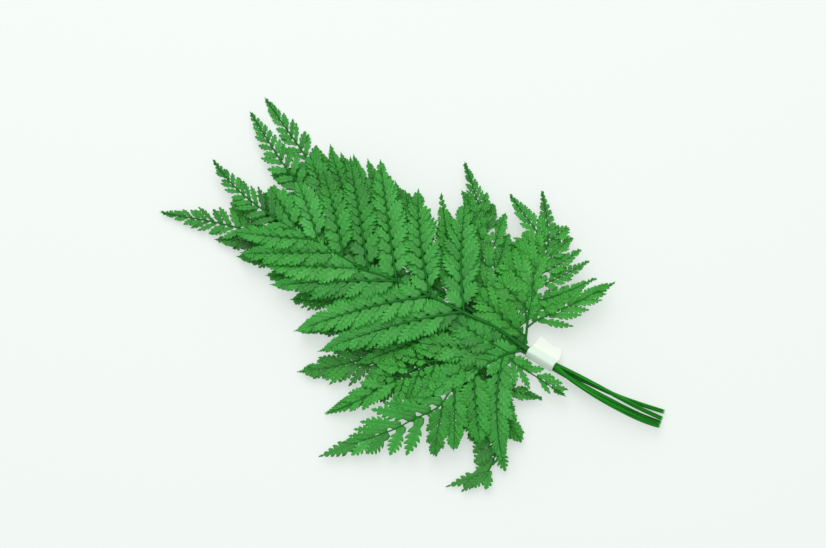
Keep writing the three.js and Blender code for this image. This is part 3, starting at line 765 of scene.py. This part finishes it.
def paper_sheet(grid, closed):
    """A closed thin piece from the points of its middle surface in rows: the two sides lie half the
    paper's thickness off it along its normals, and the open edges are walled."""
    rows, columns = grid.shape[:2]
    ahead = np.gradient(grid, axis=0)
    if closed:
        across = np.roll(grid, -1, 1) - np.roll(grid, 1, 1)
    else:
        across = np.gradient(grid, axis=1)
    normal = np.cross(ahead, across)
    normal /= np.linalg.norm(normal, axis=2, keepdims=True)
    points = np.vstack([(grid + side * PAPER / 2 * normal).reshape(-1, 3) for side in (1, -1)])
    i, j = np.meshgrid(np.arange(rows - 1), np.arange(columns if closed else columns - 1), indexing="ij")
    i, j = i.ravel(), j.ravel()
    k = (j + 1) % columns
    over = np.stack([i * columns + j, (i + 1) * columns + j, (i + 1) * columns + k, i * columns + k], 1)
    under = over[:, ::-1] + rows * columns
    if closed:
        loops = [np.arange(columns), (rows - 1) * columns + np.arange(columns)[::-1]]
    else:
        loops = [np.r_[np.arange(columns), np.arange(1, rows) * columns + columns - 1,
                       (rows - 1) * columns + np.arange(columns - 2, -1, -1),
                       np.arange(rows - 2, 0, -1) * columns]]
    walls = []
    for loop in loops:
        nxt = np.roll(loop, -1)
        walls.append(np.stack([loop, nxt, nxt + rows * columns, loop + rows * columns], 1))
    return points, np.vstack([over, under, *walls])


angle = 2 * np.pi * np.arange(64) / 64
toward = np.stack([np.cos(angle), np.sin(angle)], 1)
far = STEM_PLACES[np.argmax(toward @ STEM_PLACES.T, axis=1)]
along = np.linspace(-TAPE_LENGTH / 2, TAPE_LENGTH / 2, 25)[:, None]
wave = 0.07 * np.sin(5 * angle + 0.4 * along) * (np.abs(along) / 9) ** 2
radius = BAND_RADIUS + wave
band = np.stack([
    np.broadcast_to(along, radius.shape) + 0.12 * np.sin(3 * angle),
    far[:, 0] + radius * toward[:, 0],
    far[:, 1] + radius * toward[:, 1],
], -1)
u, v = np.meshgrid(np.linspace(0, 1, 25), np.linspace(0, 1, 17), indexing="ij")
left = -8.9 + 1.6 * v**1.5
right = 9.1 + 1.7 * np.sin(np.pi * v) * 0.8 - 0.5 * v**3
reach = 8.2 - 1.0 * np.exp(-(((u - 0.6) / 0.2) ** 2)) - 0.5 * (1 - u) ** 8 - 0.5 * u**16
flag_y = FLAG_FROM - 2.0 + (reach + 2.0) * v
flag_z = MIDDLE_SEAT + FLAG_RISE * (flag_y - FLAG_FROM) + 4.3 * (1 - smooth(1.3, 6.0, flag_y))
flag_z += 0.45 * np.sin(4.2 * u + 1.0) * v**2 - 0.8 * v**4 * u**4
flag = np.stack([left + (right - left) * u, flag_y, flag_z], -1)
paper = bpy.data.materials.new("tape paper")
paper.use_nodes = True
tree = paper.node_tree
shader = tree.nodes["Principled BSDF"]
painted_shade_to_white = tree.nodes.new("ShaderNodeAttribute")
painted_shade_to_white.attribute_name = "tone"
fibre = tree.nodes.new("ShaderNodeTexNoise")
fibre.inputs["Scale"].default_value = 900
fibre.inputs["Detail"].default_value = 3
where = tree.nodes.new("ShaderNodeTexCoord")
tree.links.new(where.outputs["Object"], fibre.inputs["Vector"])
tree.links.new(mixed(tree, PAPER_PAINTED_SHADE, PAPER_WHITE, painted_shade_to_white.outputs["Fac"]), shader.inputs["Base Color"])
shader.inputs["Roughness"].default_value = 0.75
shader.inputs["Specular IOR Level"].default_value = 0.2
bump = tree.nodes.new("ShaderNodeBump")
bump.inputs["Strength"].default_value = 0.25
bump.inputs["Distance"].default_value = 0.00008
tree.links.new(fibre.outputs["Fac"], bump.inputs["Height"])
tree.links.new(bump.outputs["Normal"], shader.inputs["Normal"])
for name, grid, closed, tone in (("tape_band", band, True, 0.0), ("tape_flag", flag, False, v.ravel())):
    points, faces = paper_sheet(grid, closed)
    # The band gets only the painted shade; the flag goes from painted shade at its root to white at its edge.
    shade = np.full(len(points), tone) if closed else np.tile(smooth(0.1, 0.6, tone), 2)
    piece(name, points, faces, paper, "tape", [("tone", shade)])

# Table, light and camera.
# The bundle lies on a plain pale sheet that glows a little, under a large soft light from the top of
# the picture, a second one overhead and an even pale room. The camera looks down at 78 degrees.
TABLE_REACH = 3
TABLE_TOP = -0.0001
corners = [(x * TABLE_REACH, y * TABLE_REACH, TABLE_TOP) for x, y in ((-1, -1), (1, -1), (1, 1), (-1, 1))]
floor_mesh = bpy.data.meshes.new("table")
floor_mesh.from_pydata(corners, [], [(0, 1, 2, 3)])
floor = bpy.data.objects.new("table", floor_mesh)
bpy.context.scene.collection.objects.link(floor)
pale = bpy.data.materials.new("pale table")
pale.use_nodes = True
pale.node_tree.nodes["Principled BSDF"].inputs["Base Color"].default_value = (0.40, 0.42, 0.41, 1)
pale.node_tree.nodes["Principled BSDF"].inputs["Emission Color"].default_value = (0.945, 1.0, 0.965, 1)
pale.node_tree.nodes["Principled BSDF"].inputs["Emission Strength"].default_value = 0.475
pale.node_tree.nodes["Principled BSDF"].inputs["Roughness"].default_value = 0.9
floor_mesh.materials.append(pale)

VIEW_AZIMUTH = math.radians(31)
VIEW_ELEVATION = math.radians(78)
LOOK_AT = np.array([-0.013, 0.0206, 0.005])
DISTANCE = 1.36
back = np.array([
    math.sin(VIEW_AZIMUTH) * math.cos(VIEW_ELEVATION),
    -math.cos(VIEW_AZIMUTH) * math.cos(VIEW_ELEVATION),
    math.sin(VIEW_ELEVATION),
])
camera_data = bpy.data.cameras.new("camera")
camera_data.lens = 96
camera = bpy.data.objects.new("camera", camera_data)
camera.location = LOOK_AT + DISTANCE * back
camera.rotation_euler = (math.pi / 2 - VIEW_ELEVATION, 0, VIEW_AZIMUTH)
bpy.context.scene.collection.objects.link(camera)
bpy.context.scene.camera = camera

up = np.array([-math.sin(VIEW_AZIMUTH), math.cos(VIEW_AZIMUTH), 0])
right = np.array([math.cos(VIEW_AZIMUTH), math.sin(VIEW_AZIMUTH), 0])


def softbox(name, place, size, power, colour=(1, 1, 1)):
    """A square area light that faces the bundle."""
    data = bpy.data.lights.new(name, "AREA")
    data.shape = "SQUARE"
    data.size = size
    data.energy = power
    data.color = colour
    light = bpy.data.objects.new(name, data)
    light.location = place
    toward = Vector(LOOK_AT.tolist()) - Vector(place.tolist())
    light.rotation_euler = toward.to_track_quat("-Z", "Y").to_euler()
    bpy.context.scene.collection.objects.link(light)


softbox("key", LOOK_AT + 1.2 * up + np.array([0, 0, 1.4]) - 0.2 * right, 1.3, 14.5, (1.0, 0.99, 0.96))
softbox("overhead", LOOK_AT + np.array([0, 0, 1.9]), 1.6, 10.5)
world = bpy.data.worlds.new("studio")
world.use_nodes = True
world.node_tree.nodes["Background"].inputs["Color"].default_value = (0.97, 1.0, 0.99, 1)
world.node_tree.nodes["Background"].inputs["Strength"].default_value = 0.62
bpy.context.scene.world = world
bpy.context.scene.view_settings.view_transform = "Standard"
